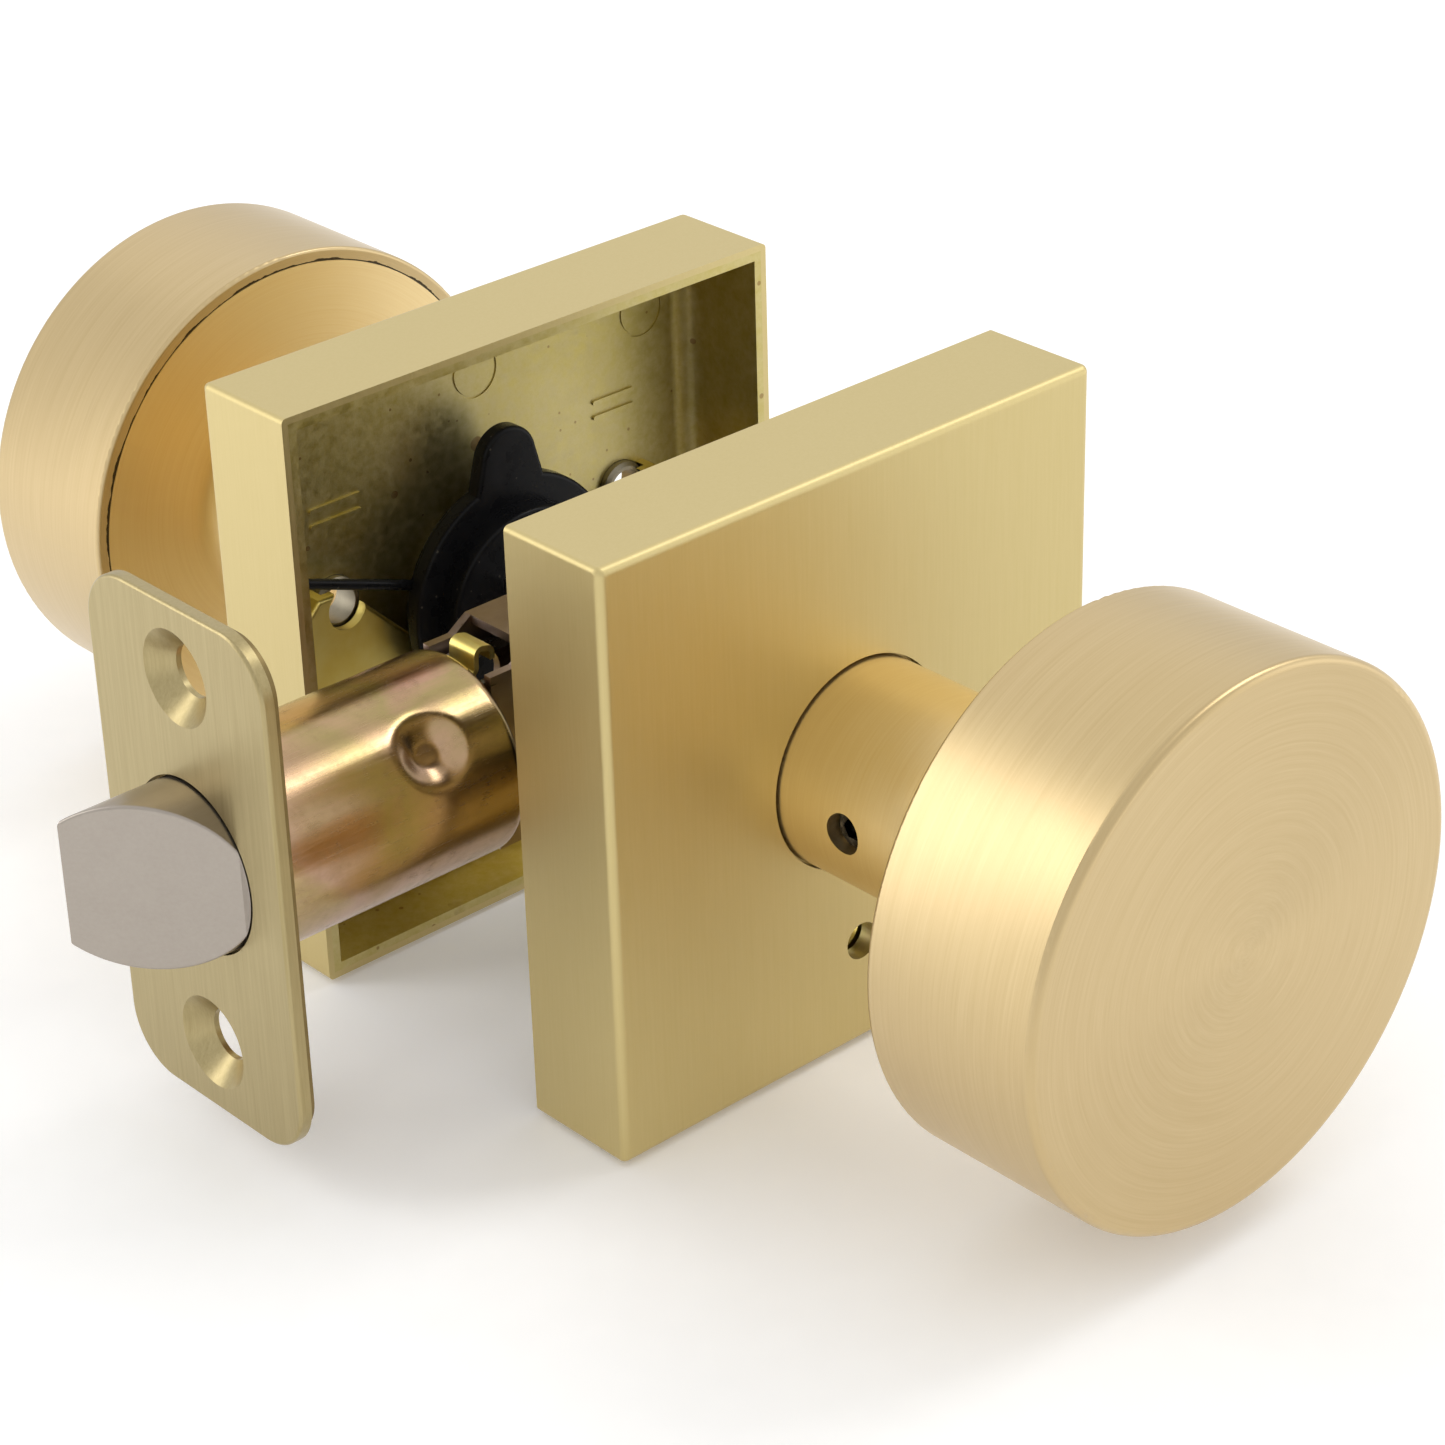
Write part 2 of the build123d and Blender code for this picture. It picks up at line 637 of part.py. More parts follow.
# ---------------------------------------------------------------- bolt, and the retractor that the hub pulls
bolt_tip = plate_x - bolt_throw
bolt_back = plate_x + bolt_inside
with BuildPart() as bolt:
    with BuildSketch(along(bolt_tip)):
        Circle(bolt_r)
    extrude(amount=bolt_back - bolt_tip)
    with BuildSketch(along(bolt_back - bolt_collar)):
        Circle(tube_bore - running)
    extrude(amount=bolt_collar)
    with BuildSketch(Plane.XY.offset(-bolt_r - 1)):
        with BuildLine():
            Polyline(
                (plate_x, -bolt_heel),
                (bolt_tip, bolt_flat),
                (bolt_tip - 1, bolt_flat),
                (bolt_tip - 1, -bolt_r - 1),
                (plate_x, -bolt_r - 1),
                close=True,
            )
        make_face()
    extrude(amount=2 * bolt_r + 2, mode=Mode.SUBTRACT)
    with Locations(((bolt_tip + bolt_back - bolt_collar) / 2 - 1, bolt_flat + bolt_r / 2, 0)):
        Box(bolt_back - bolt_collar - bolt_tip + 2, bolt_r, 2 * bolt_r + 2, mode=Mode.SUBTRACT)
    slope = Vector(-(bolt_flat + bolt_heel), -bolt_throw, 0).normalized()
    bevel = bolt.faces().filter_by(GeomType.PLANE).sort_by(lambda face: face.normal_at().dot(slope))[-1]
    fillet(bevel.edges().filter_by(GeomType.ELLIPSE), bolt_edge)
save(bolt.part, "latch_bolt")

hook_face = finger_tip - finger_radius * sin(radians(turn_angle / 2)) + finger_slack + gap
strap_z = (strap_low + strap_high) / 2
strap_length = hook_face + hook_length - bolt_back
with BuildPart() as retractor:
    with BuildSketch(along(bolt_back)):
        Circle(strap_high + gap)
    extrude(amount=strap_sheet + gap)
    for way in (-1, 1):
        with Locations((bolt_back + strap_length / 2, 0, way * strap_z)):
            with GridLocations(0, 2 * strap_outside - strap_sheet, 1, 2):
                Box(strap_length, strap_sheet, strap_high - strap_low)
        with Locations((hook_face + hook_length / 2, 0, way * (hook_low + hook_high) / 2)):
            Box(hook_length, 2 * strap_outside, hook_high - hook_low)
save(retractor.part, "retractor")

# ------------------------------------------------ bolt spring, between the bolt and the case's cap
spring_back = bolt_back + strap_sheet + gap + running
spring_space = cap_x - running - spring_back
coil_height = spring_space - bolt_spring_wire
with BuildPart() as bolt_spring:
    with BuildLine():
        coil = Helix(
            pitch=coil_height / bolt_spring_turns,
            height=coil_height,
            radius=bolt_spring_diameter / 2,
            center=(spring_back + bolt_spring_wire / 2, 0, 0),
            direction=(1, 0, 0),
        )
    with BuildSketch(Plane(origin=coil @ 0, z_dir=coil % 0)):
        Circle(bolt_spring_wire / 2)
    sweep(path=coil, is_frenet=True)
save(bolt_spring.part, "bolt_spring")
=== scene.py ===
import math

import bmesh
import bpy
from mathutils import Matrix, Vector


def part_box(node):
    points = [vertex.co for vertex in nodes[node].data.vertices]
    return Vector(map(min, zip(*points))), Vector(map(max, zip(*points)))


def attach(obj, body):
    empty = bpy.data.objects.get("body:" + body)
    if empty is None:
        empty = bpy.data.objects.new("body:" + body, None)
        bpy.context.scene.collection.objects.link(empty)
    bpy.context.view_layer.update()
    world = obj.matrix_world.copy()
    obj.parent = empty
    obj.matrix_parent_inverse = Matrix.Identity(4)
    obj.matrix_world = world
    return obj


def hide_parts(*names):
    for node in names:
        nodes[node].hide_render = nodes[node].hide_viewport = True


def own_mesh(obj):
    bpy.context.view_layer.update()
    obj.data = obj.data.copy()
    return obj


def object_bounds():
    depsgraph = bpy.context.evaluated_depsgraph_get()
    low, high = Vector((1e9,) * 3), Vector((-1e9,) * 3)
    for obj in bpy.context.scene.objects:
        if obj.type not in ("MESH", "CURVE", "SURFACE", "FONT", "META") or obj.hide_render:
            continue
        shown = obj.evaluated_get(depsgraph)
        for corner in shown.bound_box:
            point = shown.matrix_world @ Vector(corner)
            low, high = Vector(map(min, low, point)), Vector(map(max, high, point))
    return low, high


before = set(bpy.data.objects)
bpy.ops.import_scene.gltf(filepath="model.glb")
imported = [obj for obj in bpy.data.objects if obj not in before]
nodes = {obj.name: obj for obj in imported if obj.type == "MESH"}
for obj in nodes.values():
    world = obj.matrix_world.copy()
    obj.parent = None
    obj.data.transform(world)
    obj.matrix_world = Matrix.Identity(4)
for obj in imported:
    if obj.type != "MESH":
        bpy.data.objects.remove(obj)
cad_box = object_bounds()

# ---------------------------------------------------------------- camera
# A long lens looks at the set from the outside of the door, from the left and above, and is rolled a
# little. Its place is worked out from the point it looks at, two angles and a distance.
AZIMUTH, ELEVATION, ROLL = math.radians(-41.7), math.radians(28.6), math.radians(-1.67)
DISTANCE = 0.40816
LENS_MM = 96.45
look_at = Vector((0.0, -0.01047, -0.00344))

back = Vector(
    (math.sin(AZIMUTH) * math.cos(ELEVATION), -math.cos(AZIMUTH) * math.cos(ELEVATION), math.sin(ELEVATION))
)
level = Vector((math.cos(AZIMUTH), math.sin(AZIMUTH), 0.0))
upright = back.cross(level)
camera_right = level * math.cos(ROLL) + upright * math.sin(ROLL)
camera_up = upright * math.cos(ROLL) - level * math.sin(ROLL)
camera_data = bpy.data.cameras.new("camera")
camera_data.lens = LENS_MM
camera_data.clip_start = 0.01
camera = bpy.data.objects.new("camera", camera_data)
facing = Matrix((camera_right, camera_up, back)).transposed().to_4x4()
camera.matrix_world = Matrix.Translation(look_at + back * DISTANCE) @ facing
bpy.context.scene.collection.objects.link(camera)
bpy.context.scene.camera = camera

# ---------------------------------------------------------------- studio
# A white paper floor lies just under the lowest point of the set, inside a white tent. Four soft boxes
# give the satin metal something bright to mirror.
FLOOR_DROP = 0.0006
FLOOR_HALF = 1.6
LAMP_WHITE = (0.985, 0.99, 1.0)
low = cad_box[0][2] - FLOOR_DROP
floor_mesh = bpy.data.meshes.new("floor")
floor_mesh.from_pydata(
    [
        (-FLOOR_HALF, -FLOOR_HALF, low),
        (FLOOR_HALF, -FLOOR_HALF, low),
        (FLOOR_HALF, FLOOR_HALF, low),
        (-FLOOR_HALF, FLOOR_HALF, low),
    ],
    [],
    [(0, 1, 2, 3)],
)
floor = bpy.data.objects.new("floor", floor_mesh)
bpy.context.scene.collection.objects.link(floor)
paper = bpy.data.materials.new("paper")
paper.use_nodes = True
sheet = paper.node_tree.nodes["Principled BSDF"]
sheet.inputs["Roughness"].default_value = 0.9
sheet.inputs["Emission Color"].default_value = (1.0, 1.0, 1.0, 1)
sheet.inputs["Emission Strength"].default_value = 0.12
fibres = paper.node_tree.nodes.new("ShaderNodeTexNoise")
fibres.inputs["Scale"].default_value = 900.0
tone = paper.node_tree.nodes.new("ShaderNodeValToRGB")
tone.color_ramp.elements[0].color = (0.93, 0.93, 0.93, 1)
tone.color_ramp.elements[1].color = (0.98, 0.98, 0.98, 1)
paper.node_tree.links.new(fibres.outputs["Fac"], tone.inputs["Fac"])
paper.node_tree.links.new(tone.outputs["Color"], sheet.inputs["Base Color"])
floor_mesh.materials.append(paper)


def soft_box(name, toward, size, radiance, distance=0.9, about=(0.0, 0.0, 0.0)):
    """A rectangular lamp in the direction `toward` from the point `about`, facing it."""
    lamp = bpy.data.lights.new(name, "AREA")
    lamp.shape = "RECTANGLE"
    lamp.size, lamp.size_y = size
    lamp.energy = radiance * size[0] * size[1] * math.pi
    lamp.color = LAMP_WHITE
    box = bpy.data.objects.new(name, lamp)
    way = Vector(toward).normalized()
    box.location = Vector(about) + way * distance
    box.rotation_euler = way.to_track_quat("Z", "Y").to_euler()
    bpy.context.scene.collection.objects.link(box)


soft_box("box_left_rear", (-0.66, 0.66, 0.36), (0.16, 0.44), 2.3, distance=0.5, about=(0.0, -0.07, 0.0))
soft_box("box_over", (0.58, -0.23, 0.78), (0.34, 0.24), 5.2)
soft_box("box_top_rear", (0.40, 0.62, 0.70), (0.9, 0.7), 0.2)
soft_box("box_right", (0.80, -0.58, 0.12), (0.6, 0.7), 0.9)

world = bpy.data.worlds.new("tent")
bpy.context.scene.world = world
world.use_nodes = True
world.node_tree.nodes["Background"].inputs["Color"].default_value = (1.0, 1.0, 1.0, 1)
world.node_tree.nodes["Background"].inputs["Strength"].default_value = 0.86
bpy.context.scene.view_settings.view_transform = "Standard"

# ---------------------------------------------------------------- roses
# Two square cups, die cast in zinc alloy and plated satin brass. Outside they are ground with a fine
# upright grain and lacquered; inside the plating is thin and dull, with casting pits and specks of rust.
def add(tree, kind, values=None, **settings):
    """A node of that kind in the tree, with settings on it and values or links on its inputs."""
    made = tree.nodes.new(kind)
    for name, value in settings.items():
        setattr(made, name, value)
    for key, value in (values or {}).items():
        if isinstance(value, bpy.types.NodeSocket):
            tree.links.new(value, made.inputs[key])
        else:
            made.inputs[key].default_value = value
    return made


def sum_up(tree, operation, *values):
    """A math node's result. Values are numbers or sockets."""
    return add(tree, "ShaderNodeMath", dict(enumerate(values)), operation=operation).outputs[0]


def blend_colours(tree, share, first, second, kind="MIX"):
    """Colour between first and second by share."""
    mixed = add(tree, "ShaderNodeMix", data_type="RGBA", blend_type=kind)
    for index, value in ((0, share), (6, first), (7, second)):
        if isinstance(value, bpy.types.NodeSocket):
            tree.links.new(value, mixed.inputs[index])
        else:
            mixed.inputs[index].default_value = value
    return mixed.outputs[2]


def between(tree, value, low, high, out_low=0.0, out_high=1.0):
    """value mapped from low..high to out_low..out_high, held at the ends."""
    return add(
        tree,
        "ShaderNodeMapRange",
        {"Value": value, "From Min": low, "From Max": high, "To Min": out_low, "To Max": out_high},
    ).outputs["Result"]


def new_group(name, inputs, outputs):
    """An empty node group with those sockets, and its input and output nodes."""
    group = bpy.data.node_groups.new(name, "ShaderNodeTree")
    for label, kind, value in inputs:
        socket = group.interface.new_socket(name=label, in_out="INPUT", socket_type=kind)
        if value is not None:
            socket.default_value = value
    for label, kind in outputs:
        group.interface.new_socket(name=label, in_out="OUTPUT", socket_type=kind)
    return group, group.nodes.new("NodeGroupInput"), group.nodes.new("NodeGroupOutput")


def placed(tree, group, values):
    """The group placed in a material, with its own values."""
    made = tree.nodes.new("ShaderNodeGroup")
    made.node_tree = group
    for key, value in values.items():
        if isinstance(value, bpy.types.NodeSocket):
            tree.links.new(value, made.inputs[key])
        else:
            made.inputs[key].default_value = value
    return made


def finish_for(name, metallic, roughness, coat=0.0, coat_roughness=0.2, anisotropic=0.0):
    """A new material with its surface shader, and the piece's own coordinates."""
    material = bpy.data.materials.new(name)
    material.use_nodes = True
    tree = material.node_tree
    surface = tree.nodes["Principled BSDF"]
    surface.inputs["Metallic"].default_value = metallic
    surface.inputs["Roughness"].default_value = roughness
    surface.inputs["Coat Weight"].default_value = coat
    surface.inputs["Coat Roughness"].default_value = coat_roughness
    surface.inputs["Anisotropic"].default_value = anisotropic
    place = tree.nodes.new("ShaderNodeTexCoord").outputs["Object"]
    return material, tree, surface, place


def blotches(tree, place, scale, detail, roughness=0.5, distortion=0.0):
    """Soft uneven blotches over a piece, between 0 and 1. Scale is their number in a metre."""
    shape = {"Scale": scale, "Detail": detail, "Roughness": roughness, "Distortion": distortion}
    return add(tree, "ShaderNodeTexNoise", {"Vector": place, **shape}).outputs["Fac"]


def emboss(tree, surface, height, strength, distance):
    """Relief on the surface from a height that changes over it. Distance is in metres."""
    bump = add(tree, "ShaderNodeBump", {"Height": height, "Strength": strength, "Distance": distance})
    tree.links.new(bump.outputs["Normal"], surface.inputs["Normal"])


def dress(node, material):
    """The CAD piece takes that material in place of its own."""
    piece = nodes[node]
    piece.data.materials.clear()
    piece.data.materials.append(material)


# Fine scratches from a belt or wheel: Stretch is the number of scratches per metre along each axis.
grain, grain_in, grain_out = new_group(
    "brushed_grain",
    [("Vector", "NodeSocketVector", None), ("Stretch", "NodeSocketVector", (4000.0, 4000.0, 60.0))],
    [("Fine", "NodeSocketFloat"), ("Broad", "NodeSocketFloat")],
)
stretched = add(
    grain,
    "ShaderNodeVectorMath",
    {0: grain_in.outputs["Vector"], 1: grain_in.outputs["Stretch"]},
    operation="MULTIPLY",
).outputs[0]
fine = add(grain, "ShaderNodeTexNoise", {"Vector": stretched, "Scale": 1.0, "Detail": 3.0, "Roughness": 0.65})
wide = add(grain, "ShaderNodeVectorMath", {0: stretched, "Scale": 0.4}, operation="SCALE").outputs[0]
broad = add(grain, "ShaderNodeTexNoise", {"Vector": wide, "Scale": 1.0, "Detail": 4.0, "Roughness": 0.6})
grain.links.new(fine.outputs["Fac"], grain_out.inputs["Fine"])
grain.links.new(broad.outputs["Fac"], grain_out.inputs["Broad"])

# Small dark pits and specks: Density per metre, Share of the cells that hold one.
specks, specks_in, specks_out = new_group(
    "specks",
    [
        ("Vector", "NodeSocketVector", None),
        ("Density", "NodeSocketFloat", 400.0),
        ("Share", "NodeSocketFloat", 0.1),
    ],
    [("Mask", "NodeSocketFloat")],
)
cells = add(
    specks,
    "ShaderNodeTexVoronoi",
    {"Vector": specks_in.outputs["Vector"], "Scale": specks_in.outputs["Density"]},
)
chosen = sum_up(
    specks,
    "LESS_THAN",
    add(specks, "ShaderNodeSeparateColor", {0: cells.outputs["Color"]}).outputs[0],
    specks_in.outputs["Share"],
)
size_of_each = between(
    specks,
    add(specks, "ShaderNodeSeparateColor", {0: cells.outputs["Color"]}).outputs[1],
    0.0,
    1.0,
    0.10,
    0.34,
)
round_spot = sum_up(specks, "LESS_THAN", cells.outputs["Distance"], size_of_each)
specks.links.new(sum_up(specks, "MULTIPLY", chosen, round_spot), specks_out.inputs["Mask"])

SATIN_BRASS = (0.60, 0.487, 0.215, 1)
SATIN_BRASS_LIGHT = (0.65, 0.535, 0.260, 1)
PLATED_INSIDE = (0.50, 0.41, 0.12, 1)
PLATED_INSIDE_LIGHT = (0.64, 0.55, 0.27, 1)
RUST = (0.20, 0.075, 0.014, 1)
INSIDE_HALF = 0.0326
INSIDE_DEPTH = 0.0298

rose_finish, tree, surface, place = finish_for("rose_satin_brass", 1.0, 0.36, coat=0.28, coat_roughness=0.35)
axes = add(tree, "ShaderNodeSeparateXYZ", {0: place})
far_x, far_y, far_z = (sum_up(tree, "ABSOLUTE", axes.outputs[i]) for i in range(3))
inside = sum_up(
    tree,
    "MULTIPLY",
    sum_up(tree, "LESS_THAN", sum_up(tree, "MAXIMUM", far_x, far_z), INSIDE_HALF),
    sum_up(tree, "LESS_THAN", far_y, INSIDE_DEPTH),
)
scratches = placed(tree, grain, {"Vector": place, "Stretch": (9000.0, 9000.0, 260.0)})
mottle = blotches(tree, place, 60.0, 5.0, 0.6)
casting = blotches(tree, place, 900.0, 4.0, 0.7)
outer_tone = blend_colours(
    tree,
    between(tree, sum_up(tree, "ADD", scratches.outputs["Fine"], scratches.outputs["Broad"]), 0.5, 1.5),
    SATIN_BRASS,
    SATIN_BRASS_LIGHT,
)
inner_tone = blend_colours(
    tree,
    between(tree, sum_up(tree, "ADD", mottle, casting), 0.75, 1.25),
    PLATED_INSIDE,
    PLATED_INSIDE_LIGHT,
)
rust_spots = placed(tree, specks, {"Vector": place, "Density": 260.0, "Share": 0.10}).outputs["Mask"]
pits = placed(tree, specks, {"Vector": place, "Density": 900.0, "Share": 0.08}).outputs["Mask"]
stained = sum_up(tree, "MULTIPLY", rust_spots, between(tree, mottle, 0.50, 0.60))
inner_tone = blend_colours(
    tree,
    sum_up(tree, "MAXIMUM", sum_up(tree, "MULTIPLY", pits, 0.55), sum_up(tree, "MULTIPLY", stained, 0.85)),
    inner_tone,
    RUST,
)
tree.links.new(blend_colours(tree, inside, outer_tone, inner_tone), surface.inputs["Base Color"])
rough_outside = between(tree, scratches.outputs["Fine"], 0.3, 0.7, 0.44, 0.52)
rough_inside = between(tree, casting, 0.3, 0.7, 0.36, 0.52)
tree.links.new(
    sum_up(
        tree,
        "ADD",
        sum_up(tree, "MULTIPLY", rough_outside, sum_up(tree, "SUBTRACT", 1.0, inside)),
        sum_up(tree, "MULTIPLY", rough_inside, inside),
    ),
    surface.inputs["Roughness"],
)
relief = sum_up(
    tree,
    "ADD",
    sum_up(tree, "MULTIPLY", scratches.outputs["Fine"], sum_up(tree, "SUBTRACT", 1.0, inside)),
    sum_up(tree, "MULTIPLY", sum_up(tree, "SUBTRACT", casting, sum_up(tree, "MULTIPLY", pits, 1.5)), inside),
)
emboss(tree, surface, relief, 0.10, 0.00002)
for side in ("front", "back"):
    dress(f"{side}_rose", rose_finish)

# ---------------------------------------------------------------- knobs
# Drums drawn in brass sheet and rolled in round a turned back plate and neck. A wheel has brushed them
# round and round while they turned, so every scratch is an arc about the spindle.
turned, turned_in, turned_out = new_group(
    "turned_coordinates",
    [
        ("Vector", "NodeSocketVector", None),
        ("Length", "NodeSocketFloat", 2.5),
        ("Pitch", "NodeSocketFloat", 3000.0),
    ],
    [("Vector", "NodeSocketVector"), ("Radius", "NodeSocketFloat"), ("Along", "NodeSocketFloat")],
)
parts = add(turned, "ShaderNodeSeparateXYZ", {0: turned_in.outputs["Vector"]})
radius = sum_up(
    turned,
    "SQRT",
    sum_up(
        turned,
        "ADD",
        sum_up(turned, "POWER", parts.outputs[0], 2.0),
        sum_up(turned, "POWER", parts.outputs[2], 2.0),
    ),
)
safe = sum_up(turned, "MAXIMUM", radius, 0.0005)
cosine = sum_up(turned, "DIVIDE", parts.outputs[0], safe)
sine = sum_up(turned, "DIVIDE", parts.outputs[2], safe)
rings = sum_up(
    turned,
    "MULTIPLY",
    sum_up(turned, "ADD", radius, sum_up(turned, "ABSOLUTE", parts.outputs[1])),
    turned_in.outputs["Pitch"],
)
unrolled = add(
    turned,
    "ShaderNodeCombineXYZ",
    {
        0: sum_up(turned, "MULTIPLY", cosine, turned_in.outputs["Length"]),
        1: sum_up(turned, "MULTIPLY", sine, turned_in.outputs["Length"]),
        2: rings,
    },
)
turned.links.new(unrolled.outputs[0], turned_out.inputs["Vector"])
turned.links.new(radius, turned_out.inputs["Radius"])
turned.links.new(sum_up(turned, "ABSOLUTE", parts.outputs[1]), turned_out.inputs["Along"])

KNOB_BRASS = (0.56, 0.415, 0.205, 1)
KNOB_BRASS_LIGHT = (0.64, 0.495, 0.265, 1)
# Near-black colour painted into the seam between drum and back plate: painted shade.
JOINT_PAINTED_SHADE = (0.015, 0.010, 0.005, 1)
JOINT_RADIUS = 0.0276
KNOB_BACK_PLANE = 0.0618

knob_finish, tree, surface, place = finish_for(
    "knob_turned_brass",
    1.0,
    0.34,
    coat=0.30,
    coat_roughness=0.25,
    anisotropic=0.65,
)
polar = placed(tree, turned, {"Vector": place, "Length": 2.6, "Pitch": 7000.0})
scratches = placed(tree, grain, {"Vector": polar.outputs["Vector"], "Stretch": (1.0, 1.0, 1.0)})
haze = blotches(tree, place, 45.0, 4.0)
tone = between(tree, sum_up(tree, "ADD", scratches.outputs["Fine"], scratches.outputs["Broad"]), 0.6, 1.4)
brass = blend_colours(tree, tone, KNOB_BRASS, KNOB_BRASS_LIGHT)
# Painted shade: a near-black ring of uneven width, where the drum meets the back plate, stands in for the
# shade in that seam.
shade_width_blotches = blotches(tree, place, 380.0, 3.0)
ring_gap = sum_up(tree, "ABSOLUTE", sum_up(tree, "SUBTRACT", polar.outputs["Radius"], JOINT_RADIUS))
painted_joint_shade = sum_up(
    tree,
    "MULTIPLY",
    sum_up(tree, "LESS_THAN", ring_gap, between(tree, shade_width_blotches, 0.42, 0.72, 0.00010, 0.00045)),
    sum_up(tree, "LESS_THAN", polar.outputs["Along"], KNOB_BACK_PLANE + 0.0004),
)
tree.links.new(
    blend_colours(tree, sum_up(tree, "MULTIPLY", painted_joint_shade, 0.93), brass, JOINT_PAINTED_SHADE),
    surface.inputs["Base Color"],
)
tree.links.new(
    between(tree, sum_up(tree, "ADD", scratches.outputs["Fine"], haze), 0.7, 1.3, 0.29, 0.40),
    surface.inputs["Roughness"],
)
emboss(tree, surface, scratches.outputs["Fine"], 0.12, 0.00002)
tree.links.new(
    add(tree, "ShaderNodeTangent", direction_type="RADIAL", axis="Y").outputs[0],
    surface.inputs["Tangent"],
)
for side in ("front", "back"):
    dress(f"{side}_knob_shell", knob_finish)

# The neck is turned from bar and polished finer than the drum, with the tool's rings left round it.
NECK_BRASS = (0.82, 0.62, 0.31, 1)
NECK_BRASS_LIGHT = (0.88, 0.70, 0.38, 1)
neck_finish, tree, surface, place = finish_for("neck_turned_brass", 1.0, 0.36, coat=0.25, coat_roughness=0.3)
polar = placed(tree, turned, {"Vector": place, "Length": 2.0, "Pitch": 9000.0})
scratches = placed(tree, grain, {"Vector": polar.outputs["Vector"], "Stretch": (1.0, 1.0, 1.0)})
tone = between(tree, sum_up(tree, "ADD", scratches.outputs["Fine"], scratches.outputs["Broad"]), 0.6, 1.4)
tree.links.new(blend_colours(tree, tone, NECK_BRASS, NECK_BRASS_LIGHT), surface.inputs["Base Color"])
tree.links.new(between(tree, scratches.outputs["Fine"], 0.3, 0.7, 0.32, 0.42), surface.inputs["Roughness"])
emboss(tree, surface, scratches.outputs["Fine"], 0.12, 0.00002)
for side in ("front", "back"):
    dress(f"{side}_shank", neck_finish)

# ---------------------------------------------------------------- drive cams and return springs
# The cam is a black-coated steel stamping on the drive sleeve. The torsion spring on its barrel is
# oil-blacked spring wire, and its legs rest on the walls of the rose.
BLACK = (0.004, 0.004, 0.005, 1)
BLACK_LIGHT = (0.014, 0.014, 0.015, 1)
DUST = (0.20, 0.18, 0.14, 1)
black_finish, tree, surface, place = finish_for("black_coating", 0.0, 0.28, coat=0.0)
surface.inputs["Specular IOR Level"].default_value = 0.12
ripple = blotches(tree, place, 420.0, 4.0, 0.6)
dust = placed(tree, specks, {"Vector": place, "Density": 1500.0, "Share": 0.05}).outputs["Mask"]
tree.links.new(
    blend_colours(
        tree,
        sum_up(tree, "MULTIPLY", dust, 0.3),
        blend_colours(tree, ripple, BLACK, BLACK_LIGHT),
        DUST,
    ),
    surface.inputs["Base Color"],
)
tree.links.new(between(tree, ripple, 0.3, 0.7, 0.20, 0.42), surface.inputs["Roughness"])
emboss(tree, surface, ripple, 0.10, 0.00006)
for side in ("front", "back"):
    dress(f"{side}_drive_cam", black_finish)
    dress(f"{side}_return_spring", black_finish)

# ---------------------------------------------------------------- mounting plates and the case's clip
# Steel sheet, pressed to shape, then zinc plated and passivated yellow, so that it looks golden with a
# green cast.
YELLOW_ZINC = (0.78, 0.60, 0.14, 1)
YELLOW_ZINC_LIGHT = (0.86, 0.73, 0.26, 1)
gold_finish, tree, surface, place = finish_for("yellow_passivated_zinc", 1.0, 0.38)
clouds = blotches(tree, place, 110.0, 4.0, 0.6)
rolled = placed(tree, grain, {"Vector": place, "Stretch": (90.0, 2500.0, 2500.0)})
gold = blend_colours(tree, between(tree, clouds, 0.35, 0.65), YELLOW_ZINC, YELLOW_ZINC_LIGHT)
gold = blend_colours(
    tree,
    sum_up(
        tree,
        "MULTIPLY",
        placed(tree, specks, {"Vector": place, "Density": 700.0, "Share": 0.08}).outputs["Mask"],
        0.5,
    ),
    gold,
    RUST,
)
tree.links.new(gold, surface.inputs["Base Color"])
tree.links.new(
    between(tree, sum_up(tree, "ADD", rolled.outputs["Fine"], clouds), 0.7, 1.3, 0.32, 0.44),
    surface.inputs["Roughness"],
)
emboss(tree, surface, rolled.outputs["Fine"], 0.12, 0.00006)
for node in ("front_mounting_plate", "back_mounting_plate", "case_clip"):
    dress(node, gold_finish)

# ---------------------------------------------------------------- spindle, sleeves, hub and small steel
# Steel with bright zinc plating. The spindle and sleeves are cut from bar, the hub is sintered, and the
# retractor is pressed.
BRIGHT_ZINC = (0.42, 0.41, 0.40, 1)
BRIGHT_ZINC_LIGHT = (0.62, 0.61, 0.60, 1)
steel_finish, tree, surface, place = finish_for("bright_zinc_steel", 1.0, 0.3)
clouds = blotches(tree, place, 160.0, 5.0, 0.65)
drawn = placed(tree, grain, {"Vector": place, "Stretch": (2600.0, 120.0, 2600.0)})
tree.links.new(
    blend_colours(tree, between(tree, clouds, 0.3, 0.7), BRIGHT_ZINC, BRIGHT_ZINC_LIGHT),
    surface.inputs["Base Color"],
)
tree.links.new(
    between(tree, sum_up(tree, "ADD", drawn.outputs["Fine"], clouds), 0.7, 1.3, 0.22, 0.42),
    surface.inputs["Roughness"],
)
emboss(tree, surface, drawn.outputs["Fine"], 0.12, 0.00006)
for node in ("spindle", "latch_hub", "retractor", "case_rivets"):
    dress(node, steel_finish)
for side in ("front", "back"):
    for node in ("sleeve", "thrust_washer"):
        dress(f"{side}_{node}", steel_finish)

# The through-bolts' collars have duller plating, handled and a little scuffed.
DULLED_ZINC = (0.24, 0.21, 0.15, 1)
DULLED_ZINC_LIGHT = (0.36, 0.32, 0.24, 1)
dull_finish, tree, surface, place = finish_for("dulled_zinc", 1.0, 0.4)
handled = blotches(tree, place, 240.0, 5.0, 0.65)
tree.links.new(
    blend_colours(tree, between(tree, handled, 0.3, 0.7), DULLED_ZINC, DULLED_ZINC_LIGHT),
    surface.inputs["Base Color"],
)
tree.links.new(between(tree, handled, 0.3, 0.7, 0.34, 0.48), surface.inputs["Roughness"])
emboss(tree, surface, handled, 0.10, 0.00004)
for side in ("front", "back"):
    dress(f"{side}_screw_collars", dull_finish)
